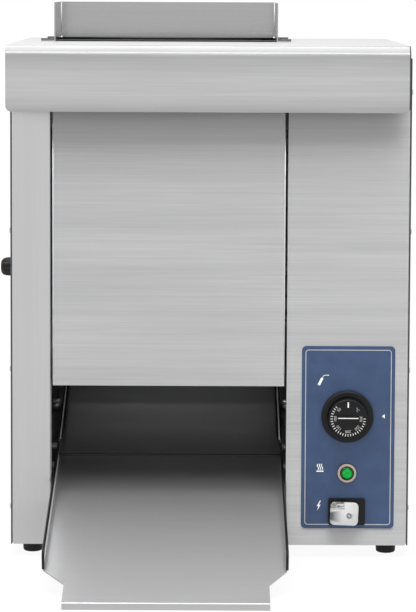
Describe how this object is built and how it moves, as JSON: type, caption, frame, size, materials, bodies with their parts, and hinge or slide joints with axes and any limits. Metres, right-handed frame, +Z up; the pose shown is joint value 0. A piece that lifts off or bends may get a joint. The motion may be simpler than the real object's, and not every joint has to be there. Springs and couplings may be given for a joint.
{
  "type": "bun toaster",
  "caption": "Upright stainless steel contact toaster for buns, with a top feeder, belts beside a heated platen, a hinged front cover, a sloping tray and a control column.",
  "frame": {"origin": "on the worktop, under the middle of the whole part's box", "axes": "+X to the right seen from the front, +Y to the back, +Z up"},
  "size_m": [0.4016, 0.537, 0.529],
  "materials": {
    "cabinet_steel": "horizontal brushed stainless",
    "chamber_steel": "fine brushed stainless",
    "fastener_steel": "plain steel",
    "foot_rubber": "matt black rubber",
    "platen_aluminium": "cast and machined",
    "heater_steel": "heat-tinted sheath",
    "belt_mesh": "woven stainless wire",
    "roller_steel": "turned",
    "bush_bronze": "sintered bronze",
    "gear_iron": "hobbed",
    "gearbox_aluminium": "die cast",
    "motor_paint": "black enamel",
    "black_plastic": "moulded phenolic",
    "panel_blue": "satin screen print",
    "capillary_copper": "drawn copper",
    "lamp_ring": "moulded",
    "lamp_green": "translucent",
    "white_plastic": "moulded",
    "clear_cap": "clear soft plastic",
    "wire_sleeve": "silicone sleeve",
    "gland_nylon": "moulded nylon"
  },
  "bodies": {
    "cabinet": {"base_pan": "cabinet_steel", "feet": "foot_rubber", "foot_screws": "fastener_steel", "left_side_cover": "cabinet_steel", "right_side_cover": "cabinet_steel", "side_cover_screws": "fastener_steel", "left_pillar": "cabinet_steel", "control_column": "cabinet_steel", "top_rail": "cabinet_steel", "hinge_pins": "fastener_steel", "rear_panel": "cabinet_steel", "rear_panel_screws": "fastener_steel", "top_hood": "cabinet_steel", "hood_screws": "fastener_steel", "left_inner_wall": "chamber_steel", "right_inner_wall": "chamber_steel", "chute_rods": "chamber_steel", "rear_slide": "chamber_steel", "platen": "platen_aluminium", "heater_rods": "heater_steel", "platen_brackets": "chamber_steel", "front_belt": "belt_mesh", "rear_belt": "belt_mesh", "shaft_bushes": "bush_bronze", "gear_pins": "fastener_steel", "motor_plate": "chamber_steel", "motor_posts": "fastener_steel", "gearbox": "gearbox_aluminium", "drive_motor": "motor_paint", "label_plate": "panel_blue", "thermostat_bezel": "black_plastic", "thermostat_body": "black_plastic", "thermostat_bulb": "capillary_copper", "lamp_bezel": "lamp_ring", "lamp_lens": "lamp_green", "lamp_body": "white_plastic", "switch_frame": "black_plastic", "switch_cap": "clear_cap", "terminal_block": "white_plastic", "wiring_loom": "wire_sleeve", "cord_gland": "gland_nylon"},
    "front_cover": {"front_cover": "cabinet_steel"},
    "landing_tray": {"landing_tray": "chamber_steel"},
    "bun_feeder": {"bun_feeder": "cabinet_steel"},
    "thermostat_knob": {"thermostat_knob": "black_plastic"},
    "switch_rocker": {"switch_rocker": "white_plastic"},
    "adjuster": {"adjuster_shaft": "roller_steel", "adjuster_knob": "black_plastic", "adjuster_eccentrics": "roller_steel"},
    "pressure_plate": {"pressure_plate": "chamber_steel"},
    "rear_drive": {"rear_drive_roller": "roller_steel", "rear_drive_gear": "gear_iron", "shaft_coupling": "roller_steel", "output_shaft": "roller_steel"},
    "rear_transfer": {"rear_transfer_gear": "gear_iron"},
    "front_transfer": {"front_transfer_gear": "gear_iron"},
    "front_drive": {"front_drive_roller": "roller_steel", "front_drive_gear": "gear_iron"},
    "rear_idler": {"rear_idler_roller": "roller_steel"},
    "front_idler": {"front_idler_roller": "roller_steel"}
  },
  "joints": [
    {"name": "front_cover_swing", "type": "hinge", "parent": "cabinet", "child": "front_cover", "pos_m": [-0.03035, -0.0595, 0.4345], "axis": [-1, 0, 0], "range_deg": [0, 55]},
    {"name": "tray_pull", "type": "slide", "parent": "cabinet", "child": "landing_tray", "axis": [0, -0.9659, 0.2588], "range_m": [0, 0.25]},
    {"name": "feeder_lift", "type": "slide", "parent": "cabinet", "child": "bun_feeder", "axis": [0, 0, 1], "range_m": [0, 0.06]},
    {"name": "thermostat_turn", "type": "hinge", "parent": "cabinet", "child": "thermostat_knob", "pos_m": [0.14035, -0.0665, 0.137], "axis": [0, -1, 0], "range_deg": [0, 270]},
    {"name": "power_rock", "type": "hinge", "parent": "cabinet", "child": "switch_rocker", "pos_m": [0.13765, -0.0675, 0.0451], "axis": [0, 0, 1], "range_deg": [0, 18]},
    {"name": "adjuster_turn", "type": "hinge", "parent": "cabinet", "child": "adjuster", "pos_m": [-0.18085, 0.0652, 0.2642], "axis": [-1, 0, 0], "range_deg": [0, 180]},
    {"name": "pressure_slide", "type": "slide", "parent": "cabinet", "child": "pressure_plate", "axis": [0, 1, 0], "range_m": [0, 0.006]},
    {"name": "rear_drive_turn", "type": "hinge", "parent": "cabinet", "child": "rear_drive", "pos_m": [-0.03035, 0.1888, 0.216], "axis": [1, 0, 0], "continuous": true},
    {"name": "rear_transfer_turn", "type": "hinge", "parent": "cabinet", "child": "rear_transfer", "pos_m": [0.09815, 0.1466, 0.216], "axis": [1, 0, 0], "continuous": true},
    {"name": "front_transfer_turn", "type": "hinge", "parent": "cabinet", "child": "front_transfer", "pos_m": [0.09815, 0.1044, 0.216], "axis": [1, 0, 0], "continuous": true},
    {"name": "front_drive_turn", "type": "hinge", "parent": "cabinet", "child": "front_drive", "pos_m": [-0.03035, 0.0622, 0.216], "axis": [1, 0, 0], "continuous": true},
    {"name": "rear_idler_turn", "type": "hinge", "parent": "cabinet", "child": "rear_idler", "pos_m": [-0.03035, 0.1888, 0.432], "axis": [1, 0, 0], "continuous": true},
    {"name": "front_idler_turn", "type": "hinge", "parent": "cabinet", "child": "front_idler", "pos_m": [-0.03035, 0.0622, 0.432], "axis": [1, 0, 0], "continuous": true}
  ],
  "couplings": [
    {"joint": "pressure_slide", "follows": "adjuster_turn", "m_per_rad": 0.0019099},
    {"joint": "rear_transfer_turn", "follows": "rear_drive_turn", "ratio": -1},
    {"joint": "front_transfer_turn", "follows": "rear_drive_turn", "ratio": 1},
    {"joint": "front_drive_turn", "follows": "rear_drive_turn", "ratio": -1},
    {"joint": "rear_idler_turn", "follows": "rear_drive_turn", "ratio": 1},
    {"joint": "front_idler_turn", "follows": "rear_drive_turn", "ratio": -1}
  ]
}
